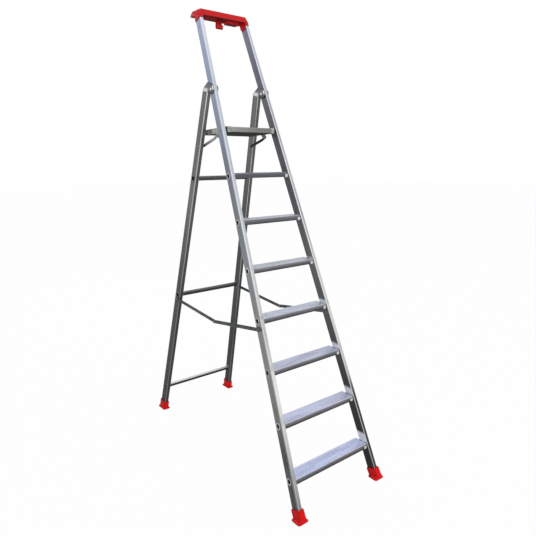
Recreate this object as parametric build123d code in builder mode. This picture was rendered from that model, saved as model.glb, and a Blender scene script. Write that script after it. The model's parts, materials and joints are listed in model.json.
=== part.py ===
from build123d import *
from math import acos, atan2, cos, degrees, hypot, radians, sin, tan
import os

# Platform stepladder in millimetres, +Z up, climbed from the -Y side.
# The origin is on the floor, midway between the climbing frame and the rear frame.

# ---- overall sizes ----
stance = 1469.0  # floor distance from the stiles' front plane to the legs' rear plane
front_lean = radians(22.3)  # climbing frame, from the vertical
riser = 240.0
first_tread = 179.0  # height of the lowest tread
tread_count = 7
front_floor_half = 284.8  # outer half width of the climbing frame at the floor
front_taper = 0.0437  # half width lost per length climbed
legs_inside = 8.8  # rear legs stand this far inside the stiles at the floor
hinge_along = 2250.0  # along the climbing slope
guard_length = 450.0  # stiles above the hinge
fit = 0.05  # radial running clearance of pins, and the gap of pressed joints
layer_gap = 0.3  # free space between flat parts that slide past each other
fold_short = 2.3  # degrees by which the legs stop at the treads before they lie parallel

# ---- extruded members ----
stile_width = 21.0
stile_depth = 54.0
leg_width = 25.0
leg_depth = 55.0
member_wall = 2.0
member_corner = 4.0
member_start = 30.0  # cut end of stiles and legs above the floor, along the slope

# ---- treads ----
tread_depth = 79.0
nosing_height = 27.0
nosing_round = 4.0
tread_setback = 3.0  # top front edge behind the stiles' front plane
tread_skin = 1.8
tread_top_skin = 2.6
tread_lip = 15.0
groove_width = 2.0
groove_depth = 0.9
groove_pitch = 5.0
groove_count = 13
tenon_width = 19.0
tenon_height = 23.0
tenon_round = 7.0
tenon_wall = 1.8
tenon_back = 25.0  # tenon centre behind the nosing
tenon_drop = 15.0  # tenon centre below the tread's top
collar_rim = 6.0  # how far the swaged rims stand round the tenon
bead_thickness = 2.0
flare_thickness = 2.0

# ---- crossbars of the rear frame ----
bar_radius = 14.0
bar_wall = 1.5
bar_rim = 2.0
bar_flare = 1.8
bar_heights = {"lower": 170.0, "middle": 841.0, "upper": 1580.0}

# ---- hinge ----
hinge_depth = 27.0  # pivot behind the stiles' front plane
pivot_to_leg_top = 21.5
leg_setback = 65.0  # middle of the knuckle's cap behind the pivot, square to the leg
leg_in_cap = 0.264  # leg's centreline in front of the cap's
leg_outside = 0.1765  # leg's middle outside the stile's, where the leg ends
ear_radius = 26.0
ear_thickness = 3.2
ear_gap_outer = 1.45  # lets the tapering stile turn between the parallel ears
ear_gap_inner = 2.3
shoulder_radius = 9.0
shoulder_back = 38.0
shoulder_rise = 17.0
heel_back = 73.0
web_clearance = 0.8
cap_rim = 1.5
cap_height = 6.0
plug_length = 70.0
plug_gap = 0.15
knuckle_rivet_drop = 35.0
bolt_radius = 5.0
bolt_head_radius = 9.0
bolt_head_height = 4.5
bolt_head_taper = 25.0
nut_radius = 8.5
nut_height = 6.0
spacer_radius = 8.0

# ---- rivets ----
rivet_radius = 4.0
rivet_head_radius = 6.0
rivet_head_height = 2.2
rivet_head_taper = 30.0
small_rivet_radius = 2.4
small_head_radius = 4.2
small_head_height = 1.4

# ---- spreaders ----
spreader_sag = 51.34573  # elbow below the line between the spreader's two pivots
strap_width = 19.0
strap_thickness = 3.0
strap_rib_width = 6.0
strap_rib_height = 1.2
strap_rib_end = 36.0
spreader_front_along = 925.0
spreader_front_depth = 24.0
spreader_rear_along = 845.0
spreader_rear_depth = 37.0
rear_spacer = 2.3  # between leg and strap, past the crossbar's flare
strap_gap = 1.8  # between the straps, whose planes differ slightly while they turn

# ---- platform ----
deck_above_step = 9.6  # deck's front edge above where one more tread would lie
deck_slope = radians(3.0)
deck_depth = 255.0
deck_thickness = 27.5
deck_in_rails = 13.0  # how far the end rails reach past the plank
deck_skin = 2.2
deck_cell_count = 5
deck_groove_count = 30
deck_groove_pitch = 7.5
rail_gap = 13.57225  # between the stile and the end rail at the pivot
rail_width = 25.0
rail_wall = 6.0
rail_cover = 1.5  # how far the end rails stand over the plank
rail_length = 229.0
rail_lug_radius = 11.0
deck_nose = 6.0
deck_tail_rise = 14.0
deck_rivet_drop = 13.0
platform_pivot_below_hinge = 242.5  # along the slope
platform_pivot_depth = 26.6
stay_width = 16.0
stay_thickness = 3.0
stay_outside = 8.5  # outer face of the stay beyond the end rail
stay_foot_along = 1827.0
stay_foot_depth = 40.6
stay_bend_back = 38.0
stay_bend_drop = 5.0

# ---- top tray ----
tray_rise = 29.93376  # tray's top above the stiles' ends
tray_height = 33.0
tray_rear_gap = 31.0  # tray edge behind the stiles
tray_wall = 3.0
tray_inset = 11.81  # tray's top edge inside the stiles' outer faces
tray_end_spread = 0.42  # outward slope of the tray's ends
socket_overlap = 21.0  # of the tray's sockets over the stiles, outside
socket_overlap_inner = 36.0
tongue_overlap = 90.0
tray_tab_width = 38.0
tray_rivet_drop = 68.0
tray_floor = 3.0
tray_end_wall = 21.0  # between the tray's end and its well
tray_rim = 5.0
pockets = {"small": (-62.0, 60.0, 6.0), "large": (87.0, 84.0, 14.0)}  # centre, width, drop
pocket_depth = 52.0  # fore and aft
pocket_draft = 8.0
hook_width = 42.0
hook_drop = 49.0
hook_thickness = 5.0
hook_reach = 17.0
hook_lip = 16.0

# ---- feet ----
foot_wall = 3.0
foot_height = 67.0
sole_height = 10.0
sole_undercut = 5.0
sole_bevel = 45.0
sole_lead = 11.0  # sole beyond the frames' outer planes, front and rear
front_sole_width = 65.0
rear_sole_width = 48.0
sole_corner = 8.0
front_sole_depth = 58.0
rear_sole_depth = 84.0

front_line = -stance / 2
rear_line = stance / 2
front_stretch = hypot(1, front_taper)
rear_floor_half = front_floor_half - legs_inside
SIDES = {"left": -1, "right": 1}

front_up = Vector(0, sin(front_lean), cos(front_lean))
front_back = Vector(0, cos(front_lean), -sin(front_lean))


def front_point(x, along, depth):
    """A point of the climbing frame: along its slope, and behind its front plane."""
    return Vector(x, front_line, 0) + front_up * along + front_back * depth


def stile_outer(along):
    return front_floor_half - front_taper * along


# The legs lean and taper so that they run from their places on the floor to the hinge.
hinge = front_point(0, hinge_along, hinge_depth)
hinge_x = stile_outer(hinge_along) - stile_width / 2
leg_plane_back = leg_setback + leg_depth / 2 - leg_in_cap
hinge_reach = hypot(rear_line - hinge.Y, hinge.Z)
rear_lean = acos(leg_plane_back / hinge_reach) - atan2(hinge.Z, rear_line - hinge.Y)
leg_up = Vector(0, -sin(rear_lean), cos(rear_lean))
leg_back = Vector(0, cos(rear_lean), sin(rear_lean))
hinge_on_leg = (hinge - Vector(0, rear_line, 0)).dot(leg_up)
leg_top = hinge_on_leg - pivot_to_leg_top
rear_taper = (rear_floor_half - leg_width / 2 - hinge_x - leg_outside) / leg_top
rear_stretch = hypot(1, rear_taper)


def rear_point(x, along, depth):
    """A point of the rear frame: along its slope, and in front of its rear plane."""
    return Vector(x, rear_line, 0) + leg_up * along - leg_back * depth


def leg_outer(along):
    return rear_floor_half - rear_taper * along


def stile_plane(side, along):
    """Square across a stile, with local x running from its front to its back."""
    x = side * (stile_outer(along) - stile_width / 2 * front_stretch)
    axis = front_up + Vector(-side * front_taper, 0, 0)
    return Plane(front_point(x, along, stile_depth / 2), x_dir=front_back, z_dir=axis)


def leg_plane(side, along):
    """Square across a rear leg, with local x running from its front to its back."""
    x = side * (leg_outer(along) - leg_width / 2 * rear_stretch)
    axis = leg_up + Vector(-side * rear_taper, 0, 0)
    return Plane(rear_point(x, along, leg_depth / 2), x_dir=leg_back, z_dir=axis)


def stile_face(side, along, depth, inset=0.0):
    """On a stile's outer face, or inset from it, looking outward, local y up the stile."""
    point = front_point(side * (stile_outer(along) - inset * front_stretch), along, depth)
    outward = Vector(side, 0, 0) + front_up * front_taper
    return Plane(point, x_dir=front_back * side, z_dir=outward)


def leg_face(side, along, depth, inset=0.0):
    """On a leg's outer face, or inset from it, looking outward, local y up the leg."""
    point = rear_point(side * (leg_outer(along) - inset * rear_stretch), along, depth)
    outward = Vector(side, 0, 0) + leg_up * rear_taper
    return Plane(point, x_dir=leg_back * side, z_dir=outward)


def side_plane(point):
    """Upright fore-and-aft plane: local x to the rear, local y up, normal to +X."""
    return Plane(point, x_dir=(0, 1, 0), z_dir=(1, 0, 0))


def across(side, point, x):
    """Cross-ladder plane at a distance x from the middle, looking outward."""
    return Plane(Vector(side * x, point.Y, point.Z), x_dir=(0, side, 0), z_dir=(side, 0, 0))


# ---- derived places ----
fork_inner = hinge_x - stile_width / 2 - ear_gap_inner
fork_outer = hinge_x + stile_width / 2 + ear_gap_outer
stile_top = hinge_along + guard_length
platform_pivot_along = hinge_along - platform_pivot_below_hinge
rail_outer_half = stile_outer(platform_pivot_along) - stile_width - rail_gap
rail_inner_half = rail_outer_half - rail_width
deck_half = rail_outer_half - deck_in_rails
stay_outer_half = rail_outer_half + stay_outside
deck_top_front = first_tread + riser * tread_count + deck_above_step
tray_top = stile_top * cos(front_lean) + tray_rise
tray_under = tray_top - tray_height
tray_top_half = stile_outer(stile_top) - tray_inset
tray_well_half = tray_top_half - tray_end_wall
tray_skirt = stile_top - socket_overlap
tray_inner_skirt = stile_top - socket_overlap_inner
tray_tongue = stile_top - tongue_overlap
tray_rivet_along = stile_top - tray_rivet_drop
platform_pivot = front_point(0, platform_pivot_along, platform_pivot_depth)
deck_edge_y = front_line + deck_top_front * tan(front_lean)
stay_foot = rear_point(0, stay_foot_along, stay_foot_depth)

# With the frames open, platform pivot, stay head and stay foot lie in one line. The head
# sits where the platform stands along the stiles once the frames are folded together.
open_angle = front_lean + rear_lean
total_fold = degrees(open_angle) - fold_short
platform_fold = 90 + degrees(deck_slope - front_lean)
open_run = stay_foot - platform_pivot
folded_foot = hinge + (stay_foot - hinge).rotate(Axis.X, -total_fold)
folded_run = folded_foot - platform_pivot
head_way = open_run.normalized().rotate(Axis.X, platform_fold)
stay_lug_reach = (open_run.length**2 - folded_run.length**2) / 2
stay_lug_reach /= open_run.length - folded_run.dot(head_way)
stay_head = platform_pivot + open_run.normalized() * stay_lug_reach
spreader_front = front_point(0, spreader_front_along, spreader_front_depth)
spreader_rear = rear_point(0, spreader_rear_along, spreader_rear_depth)
spread = spreader_rear - spreader_front
spreader_length = hypot(spread.length / 2, spreader_sag)  # of either strap, pivot to pivot
sag_direction = Vector(0, spread.Z, -spread.Y).normalized()
elbow = spreader_front + spread * 0.5 + sag_direction * spreader_sag
elbow_on_stile = (elbow - Vector(0, front_line, 0)).dot(front_up)
elbow_on_leg = (elbow - Vector(0, rear_line, 0)).dot(leg_up)
strap_outside = leg_outer(elbow_on_leg) + rear_spacer + strap_thickness
front_spacer = strap_outside + strap_gap - stile_outer(elbow_on_stile)


def save(part, name):
    part.label = name
    export_step(part, f"parts/{name}.step")


def tread_height(number):
    return first_tread + riser * (number - 1)


def tread_plane(number):
    """Side plane with its origin on the tread's top front edge."""
    height = tread_height(number)
    y = front_line + height * tan(front_lean) + tread_setback
    return side_plane(Vector(0, y, height))


def tenon_along(number):
    """Where along the stile the tenon of a tread comes through."""
    centre = tread_plane(number).from_local_coords(Vector(tenon_back, -tenon_drop, 0))
    return (centre - Vector(0, front_line, 0)).dot(front_up)


def tenon_depth(number):
    centre = tread_plane(number).from_local_coords(Vector(tenon_back, -tenon_drop, 0))
    return (centre - Vector(0, front_line, 0)).dot(front_back)


def bar_place(name):
    """Slope distance of a crossbar that is centred in the legs' depth."""
    return (bar_heights[name] + leg_depth / 2 * sin(rear_lean)) / cos(rear_lean)


# ---- climbing frame ----
def make_stile(side, name):
    with BuildPart() as stile:
        with BuildSketch(stile_plane(side, member_start)):
            RectangleRounded(stile_depth, stile_width, member_corner)
            RectangleRounded(
                stile_depth - 2 * member_wall, stile_width - 2 * member_wall,
                member_corner - member_wall, mode=Mode.SUBTRACT,
            )
        extrude(amount=(stile_top - member_start) * front_stretch)
        for number in range(1, tread_count + 1):
            with BuildSketch(tread_plane(number)):
                with Locations((tenon_back, -tenon_drop)):
                    RectangleRounded(
                        tenon_width + 2 * fit, tenon_height + 2 * fit,
                        tenon_round, rotation=-degrees(front_lean),
                    )
            extrude(amount=side * front_floor_half, mode=Mode.SUBTRACT)
        for point, radius in ((hinge, bolt_radius), (platform_pivot, rivet_radius)):
            with BuildSketch(across(side, point, 0)):
                Circle(radius + fit)
            extrude(amount=front_floor_half, mode=Mode.SUBTRACT)
        with BuildSketch(stile_face(side, spreader_front_along, spreader_front_depth)):
            Circle(rivet_radius + fit)
        extrude(amount=-stile_width * 2, mode=Mode.SUBTRACT)
        with BuildSketch(stile_face(side, tray_rivet_along, stile_depth / 2)):
            Circle(small_rivet_radius + fit)
        extrude(amount=-stile_width * 2, mode=Mode.SUBTRACT)
    save(stile.part, name)


def make_tread(number, name):
    """Grooved step whose hollow tenon goes through both stiles and is swaged over."""
    side_view = tread_plane(number)
    along = tenon_along(number)
    depth = tenon_depth(number)
    turn = -degrees(front_lean)
    with BuildPart() as tread:
        with BuildSketch(side_view):
            with BuildLine():
                Polyline(
                    (nosing_round, 0), (tread_depth, 0), (tread_depth, -tread_lip),
                    (tread_depth - tread_skin, -tread_lip),
                    (tread_depth - tread_skin, -tread_top_skin),
                    (tenon_back + tenon_width / 2 + tread_skin, -tread_top_skin),
                    (tenon_back + tenon_width / 2 + tread_skin, -nosing_height),
                    (0, -nosing_height), (0, -nosing_round),
                )
                CenterArc((nosing_round, -nosing_round), nosing_round, 90, 90)
            make_face()
            front_cell = tenon_back - tenon_width / 2 - 2 * tread_skin
            with Locations((tread_skin + front_cell / 2, -nosing_height / 2)):
                Rectangle(
                    front_cell, nosing_height - 2 * tread_top_skin, mode=Mode.SUBTRACT
                )
            with Locations((tread_depth / 2, -groove_depth / 2)):
                with GridLocations(groove_pitch, 0, groove_count, 1):
                    Rectangle(groove_width, groove_depth, mode=Mode.SUBTRACT)
        extrude(amount=front_floor_half, both=True)
        for side in SIDES.values():
            inset = stile_width + bead_thickness
            inner = stile_face(side, along, depth, inset)
            split(bisect_by=inner, keep=Keep.BOTTOM)
        with BuildSketch(side_view):
            with Locations((tenon_back, -tenon_drop)):
                RectangleRounded(tenon_width, tenon_height, tenon_round, rotation=turn)
        extrude(amount=front_floor_half, both=True)
        for side in SIDES.values():
            outer = stile_face(side, along, depth, -flare_thickness)
            split(bisect_by=outer, keep=Keep.BOTTOM)
            for inset, thickness in ((stile_width, -bead_thickness), (0.0, flare_thickness)):
                with BuildSketch(stile_face(side, along, depth, inset)):
                    RectangleRounded(
                        tenon_width + 2 * collar_rim, tenon_height + 2 * collar_rim,
                        tenon_round + collar_rim,
                    )
                extrude(amount=thickness)
        with BuildSketch(side_view):
            with Locations((tenon_back, -tenon_drop)):
                RectangleRounded(
                    tenon_width - 2 * tenon_wall, tenon_height - 2 * tenon_wall,
                    tenon_round - tenon_wall, rotation=turn,
                )
        extrude(amount=front_floor_half + stile_width, both=True, mode=Mode.SUBTRACT)
    save(tread.part, name)


def rivet(plane, below, above, radius, head_radius, head_height):
    """Shank through a plane with a tapered head beyond each end."""
    with BuildPart() as piece:
        with BuildSketch(plane.offset(-below)):
            Circle(radius)
        extrude(amount=below + above)
        with BuildSketch(plane.offset(above)):
            Circle(head_radius)
        extrude(amount=head_height, taper=rivet_head_taper)
        with BuildSketch(plane.offset(-below)):
            Circle(head_radius)
        extrude(amount=-head_height, taper=rivet_head_taper)
    return piece.part


def tube(plane, length, outer, inner):
    with BuildPart() as piece:
        with BuildSketch(plane):
            Circle(outer)
            Circle(inner, mode=Mode.SUBTRACT)
        extrude(amount=length)
    return piece.part


def save_group(pieces, name):
    """Identical small pieces share one node as separate solids."""
    with BuildPart() as group:
        add(pieces)
    save(group.part, name)


def make_foot(side, member_plane, member, centre, sole, name):
    """Moulded boot: a sleeve round the member's end on a wider sole."""
    depth, width = member
    with BuildPart() as foot:
        with BuildSketch(Plane.XY):
            with Locations(centre):
                RectangleRounded(
                    sole[0] - 2 * sole_undercut, sole[1] - 2 * sole_undercut, sole_corner
                )
        extrude(amount=sole_height, taper=-degrees(atan2(sole_undercut, sole_height)))
        with BuildSketch(Plane.XY.offset(sole_height)):
            with Locations(centre):
                RectangleRounded(sole[0], sole[1], sole_corner)
        extrude(amount=sole_height, taper=sole_bevel)
        with BuildSketch(member_plane(side, 0)):
            RectangleRounded(
                depth + 2 * foot_wall, width + 2 * foot_wall, member_corner + foot_wall
            )
        extrude(amount=foot_height)
        with BuildSketch(member_plane(side, member_start)):
            RectangleRounded(depth + 2 * fit, width + 2 * fit, member_corner)
        extrude(amount=foot_height, mode=Mode.SUBTRACT)
        split(bisect_by=Plane.XY, keep=Keep.TOP)
    save(foot.part, name)


def make_tray():
    """Tool tray that caps both stiles, with two deeper pockets and a bucket hook."""
    height = tray_top - tray_under
    front_edge = front_line - tray_wall / cos(front_lean)
    rear_edge = front_line + tray_top * tan(front_lean) + stile_depth / cos(front_lean)
    rear_edge += tray_rear_gap
    well_y = rear_edge - tray_rim
    well_front = front_edge + tray_top * tan(front_lean) + tray_rim
    well_centre = (well_y + well_front) / 2
    well_length = well_y - well_front
    well_floor = tray_under + tray_floor
    with BuildPart() as tray:
        with BuildSketch(side_plane(Vector(0, 0, 0))):
            with BuildLine():
                Polyline(
                    (front_edge + tray_top * tan(front_lean), tray_top),
                    (rear_edge, tray_top), (rear_edge, tray_under),
                    (front_edge + tray_under * tan(front_lean), tray_under),
                    close=True,
                )
            make_face()
        extrude(amount=tray_top_half + tray_end_spread * height, both=True)
        for side in SIDES.values():
            with BuildSketch(stile_plane(side, tray_skirt)):
                RectangleRounded(
                    stile_depth + 2 * tray_wall, stile_width + 2 * tray_wall,
                    member_corner + tray_wall,
                )
            extrude(amount=stile_top - tray_skirt + 2 * height)
            inner = side * (stile_width + tray_wall) / 2
            with BuildSketch(stile_plane(side, tray_inner_skirt)):
                with Locations((0, inner)):
                    Rectangle(tray_tab_width, tray_wall)
            extrude(amount=stile_top - tray_inner_skirt)
            end = Plane(
                Vector(side * tray_top_half, 0, tray_top),
                x_dir=(0, 1, 0), z_dir=(side, 0, tray_end_spread),
            )
            split(bisect_by=end, keep=Keep.BOTTOM)
        split(bisect_by=Plane.XY.offset(tray_top), keep=Keep.BOTTOM)
        for centre, width, drop in pockets.values():
            with BuildSketch(Plane.XY.offset(tray_under)):
                with Locations((centre, well_centre)):
                    RectangleRounded(width, pocket_depth, tray_rim)
            extrude(amount=-drop, taper=pocket_draft)
        with BuildSketch(side_plane(Vector(0, well_centre, tray_under))):
            bend = hook_reach / 2
            with Locations((bend - hook_thickness / 2, -(hook_drop - bend) / 2)):
                Rectangle(hook_thickness, hook_drop - bend)
            with Locations((-bend + hook_thickness / 2, hook_lip / 2 - hook_drop + bend)):
                Rectangle(hook_thickness, hook_lip)
            with BuildLine(mode=Mode.PRIVATE) as turn:
                CenterArc((0, bend - hook_drop), bend, 180, 180)
                CenterArc((0, bend - hook_drop), bend - hook_thickness, 180, 180)
                Line((-bend, bend - hook_drop), (hook_thickness - bend, bend - hook_drop))
                Line((bend, bend - hook_drop), (bend - hook_thickness, bend - hook_drop))
            make_face(turn.edges())
        extrude(amount=hook_width / 2, both=True)
        with BuildSketch(Plane.XY.offset(tray_top)):
            with Locations((0, well_centre)):
                RectangleRounded(2 * tray_well_half, well_length, tray_rim)
        extrude(amount=well_floor - tray_top, mode=Mode.SUBTRACT)
        for centre, width, drop in pockets.values():
            with BuildSketch(Plane.XY.offset(tray_under)):
                with Locations((centre, well_centre)):
                    RectangleRounded(
                        width - 2 * tray_wall, pocket_depth - 2 * tray_wall,
                        tray_rim - tray_wall / 2,
                    )
            extrude(amount=tray_floor - drop, taper=pocket_draft, mode=Mode.SUBTRACT)
            with BuildSketch(Plane.XY.offset(tray_under)):
                with Locations((centre, well_centre)):
                    RectangleRounded(
                        width - 2 * tray_wall, pocket_depth - 2 * tray_wall,
                        tray_rim - tray_wall / 2,
                    )
            extrude(amount=tray_floor, mode=Mode.SUBTRACT)
        for side in SIDES.values():
            with BuildSketch(stile_plane(side, tray_inner_skirt)):
                RectangleRounded(
                    stile_depth + 2 * fit, stile_width + 2 * fit, member_corner
                )
            extrude(
                amount=(stile_top - tray_inner_skirt) * front_stretch, mode=Mode.SUBTRACT
            )
            with BuildSketch(stile_plane(side, tray_tongue)):
                RectangleRounded(
                    stile_depth - 2 * (member_wall + plug_gap),
                    stile_width - 2 * (member_wall + plug_gap),
                    member_corner - member_wall - plug_gap,
                )
            extrude(amount=stile_top - tray_tongue + tray_wall)
            with BuildSketch(stile_face(side, tray_rivet_along, stile_depth / 2)):
                Circle(small_rivet_radius + fit)
            extrude(amount=-stile_width * 2, mode=Mode.SUBTRACT)
    save(tray.part, "top_tray")


# ---- rear frame ----
def make_leg(side, name):
    with BuildPart() as leg:
        with BuildSketch(leg_plane(side, member_start)):
            RectangleRounded(leg_depth, leg_width, member_corner)
            RectangleRounded(
                leg_depth - 2 * member_wall, leg_width - 2 * member_wall,
                member_corner - member_wall, mode=Mode.SUBTRACT,
            )
        extrude(amount=(leg_top - member_start) * rear_stretch)
        for bar in bar_heights:
            centre = rear_point(0, bar_place(bar), leg_depth / 2)
            with BuildSketch(side_plane(centre)):
                Circle(bar_radius + fit)
            extrude(amount=side * rear_floor_half, mode=Mode.SUBTRACT)
        with BuildSketch(side_plane(stay_foot)):
            Circle(rivet_radius + fit)
        extrude(amount=side * rear_floor_half, mode=Mode.SUBTRACT)
        for along, depth, radius in (
            (spreader_rear_along, spreader_rear_depth, rivet_radius),
            (leg_top - knuckle_rivet_drop, leg_depth / 2, small_rivet_radius),
        ):
            with BuildSketch(leg_face(side, along, depth)):
                Circle(radius + fit)
            extrude(amount=-leg_width * 2, mode=Mode.SUBTRACT)
    save(leg.part, name)


def make_crossbar(bar):
    """Round tube through both legs, beaded inside them and flared over outside."""
    along = bar_place(bar)
    depth = leg_depth / 2
    with BuildPart() as crossbar:
        with BuildSketch(side_plane(rear_point(0, along, depth))):
            Circle(bar_radius)
        extrude(amount=rear_floor_half, both=True)
        for side in SIDES.values():
            split(bisect_by=leg_face(side, along, depth, -bar_flare), keep=Keep.BOTTOM)
            for inset, thickness in ((leg_width, -bead_thickness), (0.0, bar_flare)):
                with BuildSketch(leg_face(side, along, depth, inset)):
                    Circle(bar_radius + bar_rim)
                extrude(amount=thickness)
        with BuildSketch(side_plane(rear_point(0, along, depth))):
            Circle(bar_radius - bar_wall)
        extrude(amount=rear_floor_half, both=True, mode=Mode.SUBTRACT)
    save(crossbar.part, f"crossbar_{bar}")


def make_knuckle(side, name):
    """Cast hinge: a plug in the leg's top, a cap on its end and two ears astride the stile."""
    place = Plane(hinge, x_dir=leg_back, z_dir=(1, 0, 0))
    reach = stile_depth - hinge_depth + web_clearance
    bottom = cap_height / 2 - pivot_to_leg_top
    step = (reach + shoulder_rise * sin(open_angle)) / cos(open_angle)
    with BuildPart() as knuckle:
        for x, thickness in ((fork_inner, -ear_thickness), (fork_outer, ear_thickness)):
            with BuildSketch(place.offset(side * x)):
                Circle(ear_radius)
                with Locations((shoulder_back, shoulder_rise)):
                    Circle(shoulder_radius)
                with Locations((leg_setback, bottom + ear_thickness / 2)):
                    Rectangle(leg_depth, ear_thickness)
                with Locations((heel_back, bottom + ear_thickness)):
                    Circle(ear_thickness)
                make_hull()
                with Locations((leg_setback, bottom - ear_radius / 2)):
                    Rectangle(leg_depth + 2 * cap_rim, ear_radius, mode=Mode.SUBTRACT)
            extrude(amount=side * thickness)
        with BuildSketch(place.offset(side * fork_inner)):
            Polygon(
                (reach, bottom), (reach, -reach * tan(open_angle / 2)), (step, shoulder_rise),
                (step + 2 * ear_thickness, shoulder_rise - ear_thickness),
                (heel_back + ear_thickness, bottom + ear_thickness),
                (leg_setback + leg_depth / 2, bottom), align=None,
            )
        extrude(amount=side * (fork_outer - fork_inner))
        with BuildSketch(leg_plane(side, leg_top)):
            RectangleRounded(
                leg_depth + 2 * cap_rim, leg_width + 2 * cap_rim, member_corner + cap_rim
            )
        extrude(amount=cap_height)
        with BuildSketch(leg_plane(side, leg_top)):
            RectangleRounded(
                leg_depth - 2 * (member_wall + plug_gap),
                leg_width - 2 * (member_wall + plug_gap),
                member_corner - member_wall - plug_gap,
            )
        extrude(amount=-plug_length)
        with BuildSketch(place):
            Circle(bolt_radius + fit)
        extrude(amount=side * 2 * fork_outer, mode=Mode.SUBTRACT)
        with BuildSketch(leg_face(side, leg_top - knuckle_rivet_drop, leg_depth / 2)):
            Circle(small_rivet_radius + fit)
        extrude(amount=-leg_width * 2, mode=Mode.SUBTRACT)
    save(knuckle.part, name)


def hinge_bolt(side):
    inside = fork_inner - ear_thickness - layer_gap - nut_height
    outside = fork_outer + ear_thickness + layer_gap
    with BuildPart() as bolt:
        with BuildSketch(across(side, hinge, inside)):
            Circle(bolt_radius)
        extrude(amount=outside - inside)
        with BuildSketch(across(side, hinge, outside)):
            Circle(bolt_head_radius)
        extrude(amount=bolt_head_height, taper=bolt_head_taper)
    return bolt.part


def hinge_nut(side):
    face = fork_inner - ear_thickness - layer_gap
    with BuildPart() as nut:
        with BuildSketch(across(side, hinge, face)):
            RegularPolygon(nut_radius, 6)
            Circle(bolt_radius + fit, mode=Mode.SUBTRACT)
        extrude(amount=-nut_height)
    return nut.part


# ---- spreaders ----
def strap_plane(face, start, end):
    """On a member's face, turned so that local x runs from one pivot to the next."""
    run = end - start
    run -= face.z_dir * run.dot(face.z_dir)
    return Plane(face.origin, x_dir=run, z_dir=face.z_dir)


def make_strap(place, rib_outside, name):
    with BuildPart() as strap:
        with BuildSketch(place):
            with Locations((spreader_length / 2, 0)):
                SlotCenterToCenter(spreader_length, strap_width)
            with Locations((0, 0), (spreader_length, 0)):
                Circle(rivet_radius + fit, mode=Mode.SUBTRACT)
        extrude(amount=strap_thickness)
        rib_face = place.offset(strap_thickness) if rib_outside else place
        with BuildSketch(rib_face):
            with Locations((spreader_length / 2, 0)):
                SlotOverall(spreader_length - 2 * strap_rib_end, strap_rib_width)
        extrude(amount=strap_rib_height if rib_outside else -strap_rib_height)
    save(strap.part, name)


def make_half_rivet(place, outward, name):
    """One half of an elbow rivet, carried in the hole at the far end of its own strap."""
    end = Plane(
        place.from_local_coords(Vector(spreader_length, 0, 0)),
        x_dir=place.x_dir, z_dir=place.z_dir,
    )
    head = end.offset(strap_thickness) if outward else end
    with BuildPart() as half:
        with BuildSketch(end):
            Circle(rivet_radius)
        extrude(amount=strap_thickness)
        with BuildSketch(head):
            Circle(rivet_head_radius)
        lift = 1 if outward else -1
        extrude(amount=lift * rivet_head_height, taper=rivet_head_taper)
    save(half.part, name)


# ---- platform ----
deck_plane = Plane(
    Vector(0, deck_edge_y, deck_top_front),
    x_dir=(0, cos(deck_slope), -sin(deck_slope)), z_dir=(1, 0, 0),
)
pivot_on_deck = deck_plane.to_local_coords(platform_pivot)
head_on_deck = deck_plane.to_local_coords(stay_head)


def deck_outline(grow):
    """Side outline of the deck plank, with a rounded nose and a raked tail."""
    with BuildSketch(Plane.XY) as outline:
        with BuildLine():
            Polyline(
                (deck_nose, 0), (deck_depth, 0), (deck_depth, -deck_tail_rise),
                (deck_depth - deck_tail_rise, -deck_thickness), (0, -deck_thickness),
                (0, -deck_nose),
            )
            CenterArc((deck_nose, -deck_nose), deck_nose, 90, 90)
        make_face()
        if grow:
            offset(amount=grow, kind=Kind.INTERSECTION)
    return outline.sketch


def deck_rivet_plane(side):
    """On the nose of the deck where an end rail laps over the plank."""
    x = side * (rail_inner_half + deck_half) / 2
    point = deck_plane.from_local_coords(Vector(-rail_cover, -deck_rivet_drop, x))
    return Plane(point, x_dir=(1, 0, 0), z_dir=-deck_plane.x_dir)


def make_deck():
    cell = (deck_depth - deck_tail_rise) / deck_cell_count
    with BuildPart() as deck:
        with BuildSketch(deck_plane):
            add(deck_outline(0))
            with Locations(((deck_depth - deck_tail_rise) / 2, -deck_thickness / 2)):
                with GridLocations(cell, 0, deck_cell_count, 1):
                    RectangleRounded(
                        cell - deck_skin, deck_thickness - 2 * deck_skin - groove_depth,
                        deck_skin, mode=Mode.SUBTRACT,
                    )
            with Locations((deck_depth / 2, -groove_depth / 2)):
                with GridLocations(deck_groove_pitch, 0, deck_groove_count, 1):
                    Rectangle(groove_width, groove_depth, mode=Mode.SUBTRACT)
        extrude(amount=deck_half, both=True)
        for side in SIDES.values():
            with BuildSketch(deck_rivet_plane(side)):
                Circle(small_rivet_radius + fit)
            extrude(amount=-3 * deck_skin, mode=Mode.SUBTRACT)
    save(deck.part, "platform_deck")


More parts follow.
